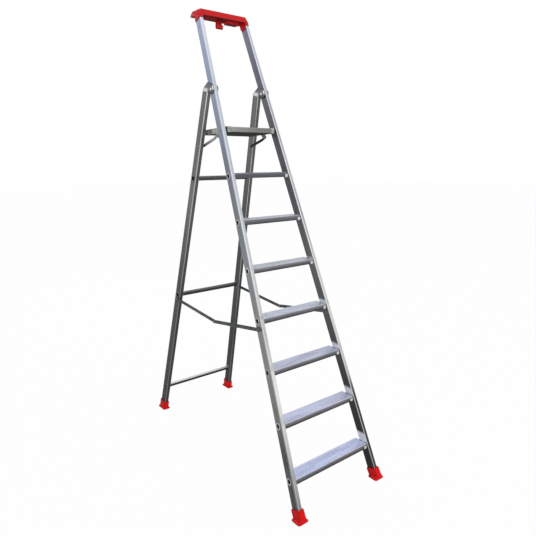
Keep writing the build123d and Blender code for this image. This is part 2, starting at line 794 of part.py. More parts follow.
def make_rail(side, name):
    """Cast end rail that laps the plank, with lugs for the pivot and the stay."""
    inner = deck_plane.offset(side * rail_inner_half)
    outer = deck_plane.offset(side * rail_outer_half)
    with BuildPart() as rail:
        with BuildSketch(inner):
            add(deck_outline(rail_cover))
            with Locations((rail_length / 2, -deck_thickness / 2)):
                Rectangle(rail_length + 4 * rail_cover, 2 * deck_thickness, mode=Mode.INTERSECT)
        extrude(amount=side * (rail_outer_half - rail_inner_half))
        for place in (pivot_on_deck, head_on_deck):
            with BuildSketch(outer):
                with Locations((place.X, place.Y)):
                    Circle(rail_lug_radius)
                with Locations((place.X + rail_lug_radius, -deck_thickness / 2)):
                    Rectangle(4 * rail_lug_radius, rail_lug_radius)
                make_hull()
            extrude(amount=-side * rail_wall)
        with BuildSketch(inner):
            add(deck_outline(fit))
        extrude(amount=side * (rail_outer_half - rail_inner_half - rail_wall), mode=Mode.SUBTRACT)
        for place in (pivot_on_deck, head_on_deck):
            with BuildSketch(outer):
                with Locations((place.X, place.Y)):
                    Circle(rivet_radius + fit)
            extrude(amount=-2 * side * rail_wall, mode=Mode.SUBTRACT)
        with BuildSketch(deck_rivet_plane(side)):
            Circle(small_rivet_radius + fit)
        extrude(amount=-3 * deck_skin, mode=Mode.SUBTRACT)
    save(rail.part, name)


def make_stay(side, name):
    """Flat galvanised link with a slight bend near its upper end."""
    start = side_plane(Vector(side * stay_outer_half, stay_foot.Y, stay_foot.Z))
    head = start.to_local_coords(Vector(start.origin.X, stay_head.Y, stay_head.Z))
    back = Vector(-head.X, -head.Y, 0).normalized()
    bend = head + back * stay_bend_back + Vector(0, -stay_bend_drop, 0)
    with BuildPart() as stay:
        with BuildSketch(start):
            for near, far in ((Vector(0, 0, 0), bend), (bend, head)):
                run = far - near
                with Locations(near + run * 0.5):
                    SlotCenterToCenter(
                        run.length, stay_width, rotation=degrees(atan2(run.Y, run.X))
                    )
            with Locations((0, 0), (head.X, head.Y)):
                Circle(rivet_radius + fit, mode=Mode.SUBTRACT)
        extrude(amount=-side * stay_thickness)
    save(stay.part, name)


def stay_foot_pin(side):
    """Through the leg and the stay, with a spacer shoulder between them."""
    outside = leg_outer(stay_foot_along) + rivet_head_radius * rear_taper
    inside = stay_outer_half - stay_thickness - layer_gap
    shoulder = leg_outer(stay_foot_along) - leg_width * rear_stretch
    shoulder -= rivet_head_radius * rear_taper + fit
    with BuildPart() as pin:
        with BuildSketch(across(side, stay_foot, inside)):
            Circle(rivet_radius)
        extrude(amount=outside - inside)
        with BuildSketch(across(side, stay_foot, outside)):
            Circle(rivet_head_radius)
        extrude(amount=rivet_head_height, taper=rivet_head_taper)
        with BuildSketch(across(side, stay_foot, inside)):
            Circle(rivet_head_radius)
        extrude(amount=-rivet_head_height, taper=rivet_head_taper)
        with BuildSketch(across(side, stay_foot, stay_outer_half + layer_gap)):
            Circle(rivet_head_radius)
        extrude(amount=shoulder - stay_outer_half - layer_gap)
    return pin.part


def stay_head_pin(side):
    """Stands in the rail's lug and stops short of the stay."""
    with BuildPart() as pin:
        with BuildSketch(across(side, stay_head, rail_outer_half - rail_wall - layer_gap)):
            Circle(rivet_radius)
        extrude(amount=stay_outer_half - stay_thickness - rail_outer_half + rail_wall)
        with BuildSketch(across(side, stay_head, rail_outer_half - rail_wall - layer_gap)):
            Circle(rivet_head_radius)
        extrude(amount=-rivet_head_height, taper=rivet_head_taper)
    return pin.part


def make_stay_rivet(side, name):
    """Stands for the upper end of the stay's pivot, carried in the stay's own eye."""
    with BuildPart() as half:
        with BuildSketch(across(side, stay_head, stay_outer_half - stay_thickness)):
            Circle(rivet_radius)
        extrude(amount=stay_thickness)
        with BuildSketch(across(side, stay_head, stay_outer_half)):
            Circle(rivet_head_radius)
        extrude(amount=small_head_height, taper=rivet_head_taper)
    save(half.part, name)


def platform_pin(side):
    """From the stile's outer face through its spacer into the rail's outer wall."""
    outside = stile_outer(platform_pivot_along) + rivet_head_radius * front_taper
    inside = rail_outer_half - rail_wall - layer_gap
    with BuildPart() as pin:
        with BuildSketch(across(side, platform_pivot, inside)):
            Circle(rivet_radius)
        extrude(amount=outside - inside)
        with BuildSketch(across(side, platform_pivot, outside)):
            Circle(rivet_head_radius)
        extrude(amount=rivet_head_height, taper=rivet_head_taper)
        with BuildSketch(across(side, platform_pivot, inside)):
            Circle(rivet_head_radius)
        extrude(amount=-rivet_head_height, taper=rivet_head_taper)
    return pin.part


os.makedirs("parts", exist_ok=True)

for label, side in SIDES.items():
    make_stile(side, f"stile_{label}")
    make_leg(side, f"rear_leg_{label}")
    make_knuckle(side, f"hinge_knuckle_{label}")
    make_rail(side, f"platform_rail_{label}")
    make_stay(side, f"stay_{label}")
    make_stay_rivet(side, f"stay_rivet_{label}")
    front_face = stile_face(side, spreader_front_along, spreader_front_depth)
    rear_face = leg_face(side, spreader_rear_along, spreader_rear_depth)
    front_strap = strap_plane(front_face.offset(front_spacer), spreader_front, elbow)
    rear_strap = strap_plane(rear_face.offset(rear_spacer), spreader_rear, elbow)
    make_strap(front_strap, True, f"spreader_front_{label}")
    make_strap(rear_strap, False, f"spreader_rear_{label}")
    make_half_rivet(front_strap, True, f"elbow_rivet_outer_{label}")
    make_half_rivet(rear_strap, False, f"elbow_rivet_inner_{label}")
    front_centre = (
        side * (stile_outer(0) - stile_width / 2),
        front_line - sole_lead + front_sole_depth / 2,
    )
    rear_centre = (
        side * (leg_outer(0) - leg_width / 2), rear_line + sole_lead - rear_sole_depth / 2
    )
    make_foot(
        side, stile_plane, (stile_depth, stile_width), front_centre,
        (front_sole_width, front_sole_depth), f"foot_front_{label}",
    )
    make_foot(
        side, leg_plane, (leg_depth, leg_width), rear_centre,
        (rear_sole_width, rear_sole_depth), f"foot_rear_{label}",
    )

for number in range(1, tread_count + 1):
    make_tread(number, f"tread_{number}")

for bar in bar_heights:
    make_crossbar(bar)

make_tray()
make_deck()

sides = SIDES.values()
spacer_inset = member_wall + spacer_radius * front_taper
save_group([hinge_bolt(side) for side in sides], "hinge_bolts")
save_group([hinge_nut(side) for side in sides], "hinge_nuts")
save_group(
    [
        tube(
            across(side, hinge, hinge_x - stile_width / 2 + spacer_inset),
            stile_width - 2 * spacer_inset, spacer_radius, bolt_radius + fit,
        )
        for side in sides
    ],
    "hinge_spacers",
)
save_group([platform_pin(side) for side in sides], "platform_pins")
save_group(
    [
        tube(
            across(side, platform_pivot, rail_outer_half + layer_gap),
            stile_outer(platform_pivot_along) - stile_width * front_stretch
            - rail_outer_half - layer_gap - spacer_radius * front_taper - fit,
            spacer_radius, rivet_radius + fit,
        )
        for side in sides
    ],
    "platform_spacers",
)
save_group([stay_foot_pin(side) for side in sides], "stay_foot_pins")
save_group([stay_head_pin(side) for side in sides], "stay_head_pins")
save_group(
    [
        rivet(
            stile_face(side, spreader_front_along, spreader_front_depth), stile_width,
            front_spacer + strap_thickness + layer_gap,
            rivet_radius, rivet_head_radius, rivet_head_height,
        )
        for side in sides
    ],
    "spreader_rivets_front",
)
save_group(
    [
        rivet(
            leg_face(side, spreader_rear_along, spreader_rear_depth), leg_width,
            rear_spacer + strap_thickness + layer_gap,
            rivet_radius, rivet_head_radius, rivet_head_height,
        )
        for side in sides
    ],
    "spreader_rivets_rear",
)
save_group(
    [
        tube(
            stile_face(side, spreader_front_along, spreader_front_depth),
            front_spacer - layer_gap, spacer_radius, rivet_radius + fit,
        )
        for side in sides
    ],
    "spreader_spacers_front",
)
save_group(
    [
        tube(
            leg_face(side, spreader_rear_along, spreader_rear_depth),
            rear_spacer - layer_gap, rivet_head_radius, rivet_radius + fit,
        )
        for side in sides
    ],
    "spreader_spacers_rear",
)
save_group(
    [
        rivet(
            leg_face(side, leg_top - knuckle_rivet_drop, leg_depth / 2), leg_width, 0,
            small_rivet_radius, small_head_radius, small_head_height,
        )
        for side in sides
    ],
    "knuckle_rivets",
)
save_group(
    [
        rivet(
            stile_face(side, tray_rivet_along, stile_depth / 2), stile_width, 0,
            small_rivet_radius, small_head_radius, small_head_height,
        )
        for side in sides
    ],
    "tray_rivets",
)
save_group(
    [
        rivet(
            deck_rivet_plane(side), rail_cover + deck_skin, 0,
            small_rivet_radius, small_head_radius, small_head_height,
        )
        for side in sides
    ],
    "deck_rivets",
)
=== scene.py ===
import json
import math

import bmesh
import bpy
import numpy as np
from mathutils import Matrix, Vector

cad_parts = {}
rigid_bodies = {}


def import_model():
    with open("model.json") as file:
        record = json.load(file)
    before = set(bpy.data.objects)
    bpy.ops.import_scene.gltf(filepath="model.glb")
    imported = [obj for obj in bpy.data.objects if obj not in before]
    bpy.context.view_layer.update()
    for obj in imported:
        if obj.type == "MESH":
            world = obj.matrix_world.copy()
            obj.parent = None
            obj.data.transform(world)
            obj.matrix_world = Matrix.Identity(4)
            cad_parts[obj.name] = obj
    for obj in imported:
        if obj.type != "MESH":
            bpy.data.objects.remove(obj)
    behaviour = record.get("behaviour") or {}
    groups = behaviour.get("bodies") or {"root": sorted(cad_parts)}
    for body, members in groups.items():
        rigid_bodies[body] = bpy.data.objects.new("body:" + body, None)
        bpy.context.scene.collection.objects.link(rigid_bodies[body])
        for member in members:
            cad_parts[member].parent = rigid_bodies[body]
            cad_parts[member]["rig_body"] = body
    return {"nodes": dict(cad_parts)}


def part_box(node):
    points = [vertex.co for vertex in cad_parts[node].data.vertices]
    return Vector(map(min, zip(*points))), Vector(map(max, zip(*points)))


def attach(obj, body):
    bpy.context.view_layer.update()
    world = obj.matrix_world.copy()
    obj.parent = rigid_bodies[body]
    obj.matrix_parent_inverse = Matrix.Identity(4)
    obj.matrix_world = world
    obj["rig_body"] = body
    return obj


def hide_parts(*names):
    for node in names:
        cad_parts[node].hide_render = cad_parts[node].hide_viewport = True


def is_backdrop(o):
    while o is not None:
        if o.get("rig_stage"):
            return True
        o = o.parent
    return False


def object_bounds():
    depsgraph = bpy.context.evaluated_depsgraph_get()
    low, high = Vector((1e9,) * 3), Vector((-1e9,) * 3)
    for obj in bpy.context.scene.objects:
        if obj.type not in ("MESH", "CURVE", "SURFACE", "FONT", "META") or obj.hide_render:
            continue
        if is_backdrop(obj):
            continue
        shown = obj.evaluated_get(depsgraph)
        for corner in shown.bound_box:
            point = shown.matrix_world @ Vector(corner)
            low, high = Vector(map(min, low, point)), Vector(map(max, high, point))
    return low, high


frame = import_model()
cad_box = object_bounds()
nodes = frame["nodes"]
scene = bpy.context.scene

# Sizes in metres, in the same frame as the solids: +Z up, climbed from the -Y side.
STANCE = 1.469
FRONT_LEAN = math.radians(22.3)
REAR_LEAN = math.radians(13.45)
RISER = 0.240
FIRST_TREAD = 0.179
TREADS = 7
TREAD_SETBACK = 0.003  # top front edge behind the stiles' front plane
TENON_BACK, TENON_DROP = 0.025, 0.015  # its centre from the tread's top front edge
TENON_HOLLOW = (0.0086, 0.0106)  # half width and half height inside
STILE = (0.054, 0.021)
LEG = (0.055, 0.025)
FRONT_HALF, FRONT_TAPER = 0.2848, 0.0437
REAR_HALF, REAR_TAPER = 0.2760, 0.0410
BAR_HEIGHTS = (0.170, 0.841, 1.580)
BAR_HOLLOW = 0.0128  # radius
HINGE_ALONG, HINGE_DEPTH = 2.250, 0.027
STILE_SPAN, LEG_SPAN = 2.7, 2.1  # lengths over which their colours run
SIDES = {"left": -1, "right": 1}
MM = 0.001
FLAT = (0.93, 0.99)  # how squarely a surface faces before it takes that face's colour

front_line = -STANCE / 2
rear_line = STANCE / 2
first_nosing = front_line + FIRST_TREAD * math.tan(FRONT_LEAN) + TREAD_SETBACK
tread_step = RISER * math.tan(FRONT_LEAN)
front_up = np.array((0, math.sin(FRONT_LEAN), math.cos(FRONT_LEAN)))
front_back = np.array((0, math.cos(FRONT_LEAN), -math.sin(FRONT_LEAN)))
leg_up = np.array((0, -math.sin(REAR_LEAN), math.cos(REAR_LEAN)))
leg_back = np.array((0, math.cos(REAR_LEAN), math.sin(REAR_LEAN)))


def unit(vector):
    vector = np.asarray(vector, float)
    return vector / np.linalg.norm(vector)


def front_point(x, along, depth):
    """Origin on the floor, then along the climbing slope, then back into the stile."""
    return np.array((x, front_line, 0)) + front_up * along + front_back * depth


def rear_point(x, along, depth):
    return np.array((x, rear_line, 0)) + leg_up * along - leg_back * depth


def stile_outer(along):
    return FRONT_HALF - FRONT_TAPER * along


def leg_outer(along):
    return REAR_HALF - REAR_TAPER * along


class Seat:
    """A place on a part: an origin and three square directions, the last pointing off the part."""

    def __init__(self, origin, across, off):
        self.origin = np.asarray(origin, float)
        self.off = unit(off)
        across = np.asarray(across, float)
        self.across = unit(across - self.off * np.dot(across, self.off))
        self.along = np.cross(self.off, self.across)

    def points(self, a, b, c):
        """Points of the shared frame from coordinates on the seat, as whole arrays."""
        a, b, c = np.broadcast_arrays(a, b, c)
        return (
            self.origin + a[..., None] * self.across
            + b[..., None] * self.along + c[..., None] * self.off
        )


def stile_seat(side, along, depth, inset=0.0, inward=False):
    """A seat on a stile's outer face, or inset from it, that faces outward or inward."""
    stretch = math.hypot(1, FRONT_TAPER)
    origin = front_point(side * (stile_outer(along) - inset * stretch), along, depth)
    off = np.array((side, 0, 0)) + front_up * FRONT_TAPER
    return Seat(origin, front_back * side, -off if inward else off)


def leg_seat(side, along, depth, inset=0.0, inward=False):
    """A seat on a rear leg's outer face, or inset from it, that faces outward or inward."""
    stretch = math.hypot(1, REAR_TAPER)
    origin = rear_point(side * (leg_outer(along) - inset * stretch), along, depth)
    off = np.array((side, 0, 0)) + leg_up * REAR_TAPER
    return Seat(origin, leg_back * side, -off if inward else off)


# ---- meshes from grids of points ----
WELD, SOLID_WELD = 1e-6, 2e-6  # points this near are one, in a new piece and in a solid's copy
NEARLY_FLAT = math.radians(1.0)  # edges between such faces are dissolved
BEVEL_STEPS = 2
BEVEL_ANGLE = math.radians(32)


def grid_faces(rows, columns, start):
    """Quads of a grid that closes round its columns."""
    r, c = np.meshgrid(np.arange(rows - 1), np.arange(columns), indexing="ij")
    n = (c + 1) % columns
    corners = (r * columns + c, r * columns + n, (r + 1) * columns + n, (r + 1) * columns + c)
    return np.stack(corners, -1).reshape(-1, 4) + start


def piece(name, grids, body, finish, crease=35):
    """One mesh from grids of shape (rows, columns, 3), welded, with its normals outward."""
    points, faces, start = [], [], 0
    for grid in grids:
        rows, columns = grid.shape[:2]
        points.append(grid.reshape(-1, 3))
        faces.append(grid_faces(rows, columns, start))
        start += rows * columns
    mesh = bpy.data.meshes.new(name)
    mesh.from_pydata(np.concatenate(points).tolist(), [], np.concatenate(faces).tolist())
    weld(mesh)
    mesh.shade_smooth()
    mesh.set_sharp_from_angle(angle=math.radians(crease))
    obj = bpy.data.objects.new(name, mesh)
    scene.collection.objects.link(obj)
    mesh.materials.append(finish)
    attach(obj, body)
    return obj


def weld(mesh):
    edit = bmesh.new()
    edit.from_mesh(mesh)
    bmesh.ops.remove_doubles(edit, verts=edit.verts, dist=WELD)
    bmesh.ops.dissolve_degenerate(edit, edges=edit.edges, dist=WELD)
    bmesh.ops.recalc_face_normals(edit, faces=edit.faces)
    edit.to_mesh(mesh)
    edit.free()


def softened(node, width, finish, shape=None):
    """A copy of a solid with its edges rounded, standing for the plain one.

    A shape is a function that gives the moved points of the copy.
    """
    source = nodes[node]
    mesh = source.data.copy()
    mesh.materials.clear()
    mesh.materials.append(finish)
    edit = bmesh.new()
    edit.from_mesh(mesh)
    bmesh.ops.remove_doubles(edit, verts=edit.verts, dist=SOLID_WELD)
    bmesh.ops.dissolve_limit(edit, angle_limit=NEARLY_FLAT, verts=edit.verts, edges=edit.edges)
    edit.to_mesh(mesh)
    edit.free()
    if shape is not None:
        points = np.empty(3 * len(mesh.vertices))
        mesh.vertices.foreach_get("co", points)
        mesh.vertices.foreach_set("co", shape(points.reshape(-1, 3)).ravel())
    mesh.shade_smooth()
    mesh.set_sharp_from_angle(angle=BEVEL_ANGLE)
    obj = bpy.data.objects.new(node + "_rounded", mesh)
    scene.collection.objects.link(obj)
    bevel = obj.modifiers.new("edges", "BEVEL")
    bevel.width = width
    bevel.segments = BEVEL_STEPS
    bevel.limit_method = "ANGLE"
    bevel.angle_limit = BEVEL_ANGLE
    bevel.use_clamp_overlap = True
    bevel.harden_normals = False
    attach(obj, source["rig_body"])
    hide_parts(node)


LIP_SINK = 0.4 * MM  # how far a rolled rim reaches below its seat
CORNER_STEPS, ROUND_STEPS = 10, 14


def lip(seat, half, corner, width, height):
    """Rolled rim along a rounded rectangle.

    A point at angle t lies at the near corner of a core rectangle plus a radius: the corner
    radius and width * cos(v). It stands height * sin(v) off the seat, or sinks below it.
    """
    quarter = np.linspace(0, np.pi / 2, CORNER_STEPS)
    t = np.concatenate([quarter + k * np.pi / 2 for k in range(4)])
    signs = np.array([(1, 1), (-1, 1), (-1, -1), (1, -1)]).repeat(CORNER_STEPS, axis=0)
    core = signs * (np.array(half) - corner)
    v = np.linspace(0, 2 * np.pi, ROUND_STEPS + 1)
    radius = corner + width * np.cos(v)
    rise = np.where(np.sin(v) > 0, height, LIP_SINK) * np.sin(v)
    a = core[:, 0] + radius[:, None] * np.cos(t)
    b = core[:, 1] + radius[:, None] * np.sin(t)
    return seat.points(a, b, rise[:, None])


# ---- shader expressions ----
def tone(red, green, blue):
    """A display colour from 0 to 255 as a linear colour."""
    display = np.array((red, green, blue), float) / 255
    linear = np.where(display <= 0.04045, display / 12.92, ((display + 0.055) / 1.055) ** 2.4)
    return tuple(linear.tolist()) + (1.0,)


class Term:
    """A shader socket that works in plain arithmetic."""

    def __init__(self, wiring, socket):
        self.wiring = wiring
        self.socket = socket

    def _math(self, operation, *values):
        return self.wiring.node("ShaderNodeMath", {"operation": operation}, dict(enumerate(values)))

    def __add__(self, other):
        return self._math("ADD", self, other)

    def __radd__(self, other):
        return self._math("ADD", other, self)

    def __sub__(self, other):
        return self._math("SUBTRACT", self, other)

    def __rsub__(self, other):
        return self._math("SUBTRACT", other, self)

    def __mul__(self, other):
        return self._math("MULTIPLY", self, other)

    def __rmul__(self, other):
        return self._math("MULTIPLY", other, self)

    def __truediv__(self, other):
        return self._math("DIVIDE", self, other)

    def __gt__(self, other):
        return self._math("GREATER_THAN", self, other)

    def __lt__(self, other):
        return self._math("LESS_THAN", self, other)

    def __neg__(self):
        return self._math("MULTIPLY", self, -1.0)

    def __abs__(self):
        return self._math("ABSOLUTE", self)

    def rounded(self):
        return self._math("ROUND", self)

    def root(self):
        return self._math("SQRT", self)

    def high(self, other):
        return self._math("MAXIMUM", self, other)

    def low(self, other):
        return self._math("MINIMUM", self, other)

    def ease(self, start, end):
        """0 up to start, 1 from end, and smooth between them."""
        settings = {"interpolation_type": "SMOOTHSTEP"}
        inputs = {"Value": self, "From Min": start, "From Max": end}
        return self.wiring.node("ShaderNodeMapRange", settings, inputs)


class Wiring:
    """The nodes of a material or of the world."""

    def __init__(self, tree):
        self.tree = tree

    def node(self, kind, settings=None, inputs=None, output=0):
        """Adds a node, makes its settings, fills or links its sockets, and gives one output."""
        new = self.tree.nodes.new(kind)
        for key, value in (settings or {}).items():
            if key == "stops":
                ramp = new.color_ramp.elements
                while len(ramp) < len(value):
                    ramp.new(0.5)
                for element, (position, colour) in zip(ramp, value):
                    element.position = position
                    element.color = colour
            else:
                setattr(new, key, value)
        for key, value in (inputs or {}).items():
            if isinstance(value, Term):
                self.tree.links.new(value.socket, new.inputs[key])
            else:
                new.inputs[key].default_value = value
        return Term(self, new.outputs[output])

    def join(self, value, node, socket):
        """Links a value to a socket of a node that was there from the start."""
        self.tree.links.new(value.socket, self.tree.nodes[node].inputs[socket])


class Finish(Wiring):
    """One procedural material, wired by expressions."""

    def __init__(self, name, metallic, roughness, **sockets):
        self.material = bpy.data.materials.new(name)
        self.material.use_nodes = True
        super().__init__(self.material.node_tree)
        self.shader = self.tree.nodes["Principled BSDF"]
        self.shader.inputs["Metallic"].default_value = metallic
        self.shader.inputs["Roughness"].default_value = roughness
        for socket, value in sockets.items():
            self.shader.inputs[socket.replace("_", " ")].default_value = value
        self.place = self.node("ShaderNodeTexCoord", output="Object")
        self.x, self.y, self.z = self.split(self.place)
        facing = self.node("ShaderNodeTexCoord", output="Normal")
        self.nx, self.ny, self.nz = self.split(facing)

    def split(self, vector):
        new = self.node("ShaderNodeSeparateXYZ", None, {0: vector})
        outputs = new.socket.node.outputs
        return [Term(self, outputs[i]) for i in range(3)]

    def mix(self, mask, first, second):
        """Colour that is first where the mask is 0 and second where it is 1."""
        settings = {"data_type": "RGBA", "clamp_factor": True}
        return self.node("ShaderNodeMix", settings, {0: mask, 6: first, 7: second}, output=2)

    def ramp(self, value, start, end, colours):
        """Evenly spaced colours from start to end of a value."""
        share = (value - start) / (end - start)
        last = len(colours) - 1
        stops = [(i / last, colour) for i, colour in enumerate(colours)]
        return self.node("ShaderNodeValToRGB", {"stops": stops}, {0: share})

    def noise(self, scale, detail, turn=(0, 0, 0)):
        """Noise from about 0 to 1, stretched by one scale a direction and turned."""
        spot = self.node(
            "ShaderNodeMapping", {"vector_type": "TEXTURE"},
            {"Vector": self.place, "Rotation": turn, "Scale": [1 / s for s in scale]},
        )
        inputs = {"Vector": spot, "Scale": 1.0, "Detail": detail, "Roughness": 0.55}
        return self.node("ShaderNodeTexNoise", None, inputs)

    def paint(self, colour, roughness, height, depth):
        """Colour and roughness, with a relief of some height and depth."""
        self.link("Base Color", colour)
        self.link("Roughness", roughness)
        inputs = {"Height": height, "Distance": depth, "Strength": 1.0}
        self.link("Normal", self.node("ShaderNodeBump", None, inputs))
        return self.material

    def link(self, socket, value):
        if isinstance(value, Term):
            self.tree.links.new(value.socket, self.shader.inputs[socket])
        else:
            self.shader.inputs[socket].default_value = value


def shaded(finish, colour, amount, pattern):
    """Colour that a pattern around 0.5 lightens and darkens by an amount."""
    dark = finish.node(
        "ShaderNodeVectorMath", {"operation": "SCALE"}, {0: colour, "Scale": 1 - amount}
    )
    light = finish.node(
        "ShaderNodeVectorMath", {"operation": "SCALE"}, {0: colour, "Scale": 1 + amount}
    )
    return finish.mix(pattern.ease(0.25, 0.75), dark, light)


def step_offsets(finish):
    """Height above the nearest tread's top, and depth behind its nosing."""
    number = ((finish.z - FIRST_TREAD + 0.1 * RISER) / RISER).rounded()
    number = number.high(0).low(TREADS - 1)
    above = finish.z - FIRST_TREAD - number * RISER
    behind = finish.y - first_nosing - number * tread_step
    return above, behind


def outside(finish):
    """1 on the right side and -1 on the left."""
    return (finish.x > 0.0) * 2.0 - 1.0


def extruded(name, up, back, origin):
    """Start of a finish for a drawn box section: die lines run along the member."""
    finish = Finish(name, 0.85, 0.3)
    lean = math.atan2(-up[1], up[2])
    lines = finish.noise((260, 260, 1.6), 4.0, (lean, 0, 0))
    broad = finish.noise((34, 34, 2.2), 3.0, (lean, 0, 0))
    outward = finish.nx * outside(finish)
    backward = finish.ny * float(back[1]) + finish.nz * float(back[2])
    along = (finish.y - origin) * float(up[1]) + finish.z * float(up[2])
    return finish, lines, broad, outward, backward, along


def greys(*levels, tint=(0, 0, 0)):
    """Neutral colours from display levels, each shifted by the same tint."""
    return [tone(*(level + shift for shift in tint)) for level in levels]


def stile_finish():
    """Each face has its own run of greys as painted light and shade; the inner ones carry a painted
    reflection of the tread just above a tread, and the rounded corners a painted highlight.
    """
    finish, lines, broad, outward, backward, along = extruded(
        "mill aluminium stile", front_up, front_back, front_line
    )
    behind_face = (finish.y - front_line) * float(front_back[1]) + finish.z * float(front_back[2])
    # Painted light and shade: the outer face's greys run along the stile, with a painted highlight
    # on its strip near the front corner.
    outer = finish.ramp(along, 0.0, STILE_SPAN, [
        tone(102, 102, 103), tone(94, 94, 93), tone(152, 152, 148), tone(164, 164, 165),
        tone(160, 165, 169), tone(136, 140, 147), tone(122, 128, 140), tone(134, 143, 162),
        tone(148, 160, 186), tone(162, 169, 200),
    ])
    outer = finish.mix((1 - behind_face.ease(0.004, 0.018)) * 0.40, outer, tone(214, 220, 236))
    # Painted shade: the inner face's greys.
    inner = finish.ramp(along, 0.0, STILE_SPAN, [
        tone(56, 55, 58), tone(64, 63, 66), tone(80, 79, 84), tone(100, 99, 104),
        tone(122, 122, 126), tone(110, 109, 115), tone(104, 104, 110), tone(106, 106, 114),
        tone(106, 108, 122), tone(132, 135, 156),
    ])
    # Painted light: the fronts of the left and right stiles are lit differently, and the right one
    # has painted shade low down.
    left_front_painted_light = finish.ramp(along, 0.0, STILE_SPAN, [
        tone(138, 138, 138), tone(198, 198, 196), tone(226, 226, 222), tone(188, 188, 186),
        tone(176, 178, 178), tone(166, 173, 178), tone(156, 161, 172), tone(178, 184, 200),
        tone(194, 200, 214), tone(208, 212, 228),
    ])
    right_front_painted_light = finish.ramp(along, 0.0, STILE_SPAN, [
        tone(46, 46, 46), tone(50, 50, 50), tone(194, 194, 190), tone(216, 216, 211),
        tone(196, 196, 194), tone(154, 154, 157), tone(176, 178, 183), tone(160, 165, 174),
        tone(178, 182, 196), tone(192, 195, 210),
    ])
    right_front_painted_light = finish.mix(along.ease(0.46, 0.60), tone(66, 66, 66), right_front_painted_light)
    front = finish.mix(finish.x > 0.0, left_front_painted_light, right_front_painted_light)
    # Painted shade on the rear face.
    rear = finish.ramp(along, 0.0, STILE_SPAN, greys(72, 88, 108, 120))
    # Painted reflection of each tread on the inner faces, in a patch just above it.
    above, behind = step_offsets(finish)
    reach = above + (finish.z - FIRST_TREAD) * 0.045
    glow = above.ease(-0.002, 0.004) * (1 - reach.ease(0.040, 0.058))
    inner = finish.mix(glow, inner, tone(244, 248, 250))
    # Painted highlight on the rounded corners.
    painted_edge_shading = finish.ramp(along, 0.0, STILE_SPAN, greys(190, 226, 232, 228, 232, 240))
    colour = finish.mix(outward.ease(*FLAT), painted_edge_shading, outer)
    colour = finish.mix((-outward).ease(*FLAT), colour, inner)
    colour = finish.mix((-backward).ease(*FLAT), colour, front)
    colour = finish.mix(backward.ease(0.6, 0.9), colour, rear)
    colour = shaded(finish, colour, 0.07, lines)
    colour = shaded(finish, colour, 0.09, broad)
    # Less metallic under the painted reflection.
    finish.link("Metallic", 0.85 - glow * 0.6)
    rough = 0.30 + broad * 0.12
    return finish.paint(colour, rough, lines, 0.00004)


def leg_finish():
    """Each face has its own run of greys as painted light and shade, with a painted highlight strip
    along the front corner.
    """
    finish, lines, broad, outward, backward, along = extruded(
        "mill aluminium leg", leg_up, leg_back, rear_line
    )
    # Painted light and shade: every face's greys run along the leg, darker towards the foot.
    outer_painted_shading = greys(62, 72, 80, 90, 106, 120, 106, 108, tint=(0, 0, 3))
    outer = finish.ramp(along, 0.0, LEG_SPAN, outer_painted_shading)
    front = finish.ramp(along, 0.0, LEG_SPAN, greys(78, 78, 86, 98, 108, 116))
    # Painted highlight: a lighter strip along the front of the outer face, on the upper leg.
    ahead = -((finish.y - rear_line) * float(leg_back[1]) + finish.z * float(leg_back[2]))
    painted_front_strip_highlight = ahead.ease(LEG[0] - 9 * MM, LEG[0] - 4 * MM) * along.ease(0.6, 2.0)
    outer = finish.mix(painted_front_strip_highlight * 0.5, outer, tone(210, 210, 208))
    inner = finish.ramp(along, 0.0, LEG_SPAN, greys(66, 71, 82, 98, 108, 106))
    # Painted highlight on the rounded corners.
    corners = greys(150, 140, 172, 204, 236, 248, tint=(0, 0, -3))
    painted_edge_shading = finish.ramp(along, 0.0, LEG_SPAN, corners)
    colour = finish.mix(outward.ease(*FLAT), painted_edge_shading, outer)
    colour = finish.mix((-outward).ease(*FLAT), colour, inner)
    colour = finish.mix((-backward).ease(*FLAT), colour, front)
    colour = finish.mix(backward.ease(0.86, 0.97), colour, outer)
    colour = shaded(finish, colour, 0.12, lines)
    colour = shaded(finish, colour, 0.20, broad)
    rough = 0.30 + broad * 0.12
    return finish.paint(colour, rough, lines, 0.00005)


